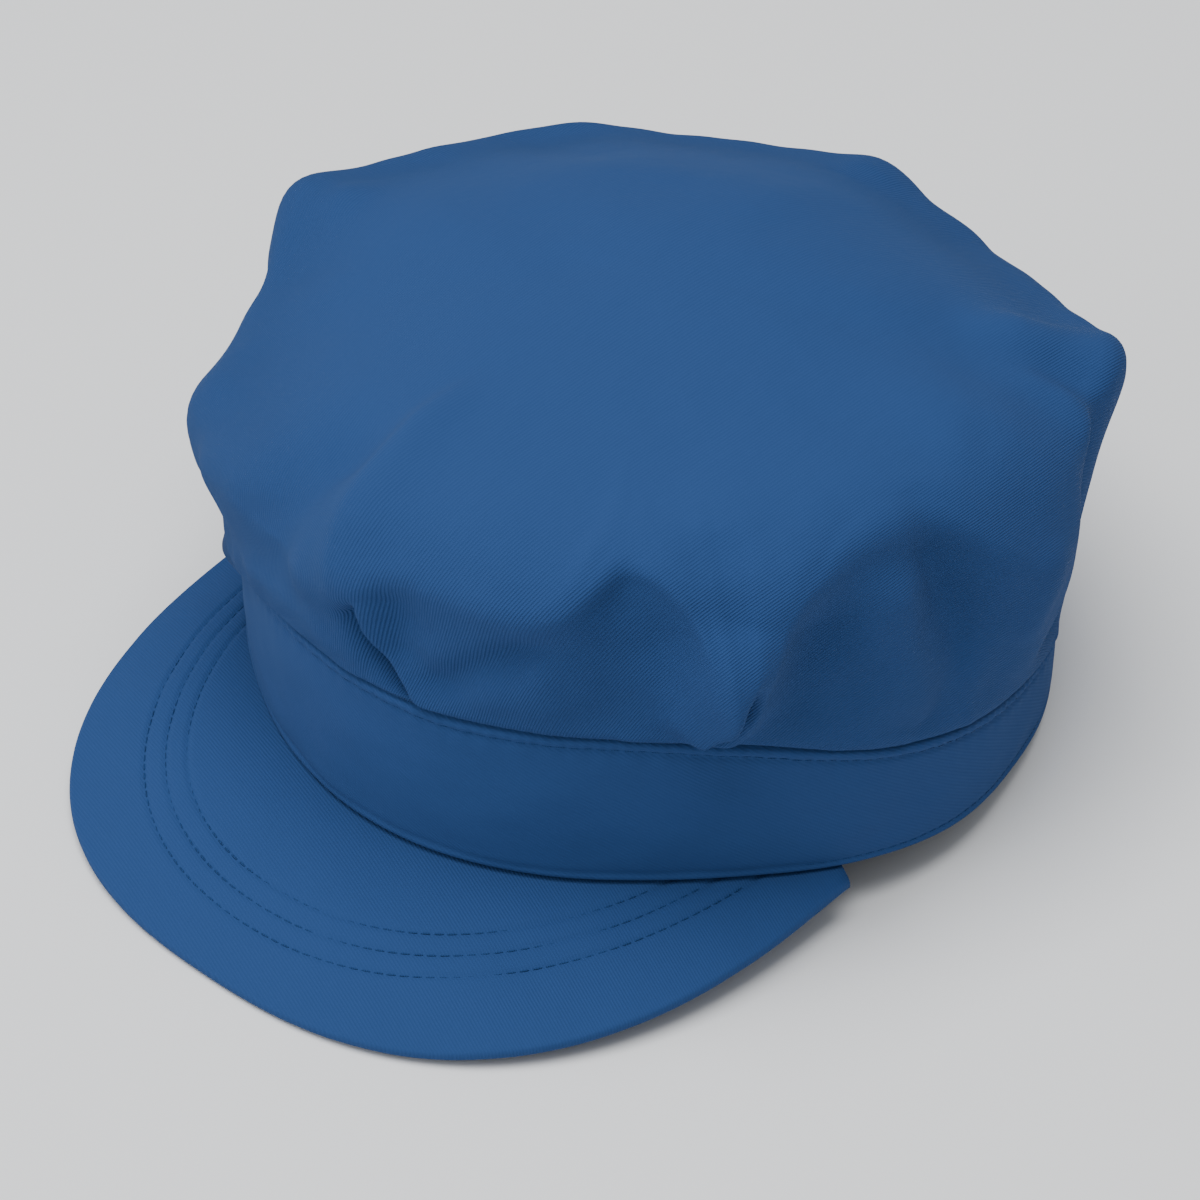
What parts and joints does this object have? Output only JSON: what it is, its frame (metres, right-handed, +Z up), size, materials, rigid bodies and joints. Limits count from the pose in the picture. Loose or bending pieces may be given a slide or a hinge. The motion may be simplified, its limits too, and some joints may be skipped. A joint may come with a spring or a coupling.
{
  "type": "kitchen cap",
  "caption": "Soft cloth kitchen cap with a full, softly folded crown pleated into an upright band and a stitched, rounded peak in front.",
  "frame": {"origin": "on the surface that the cap lies on, under the centre of its box", "axes": "+Z up; the peak points to -Y, so +Y is towards the wearer's back of the head; +X towards the wearer's left"},
  "size_m": [0.1968, 0.2304, 0.104],
  "materials": {
    "crown_cloth": "matt blue cotton twill",
    "band_cloth": "matt blue cotton twill, doubled",
    "peak_cloth": "matt blue cotton twill over a stiffener, with rows of stitching"
  },
  "bodies": {
    "root": {"crown": "crown_cloth", "band": "band_cloth", "peak": "peak_cloth"}
  },
  "joints": []
}
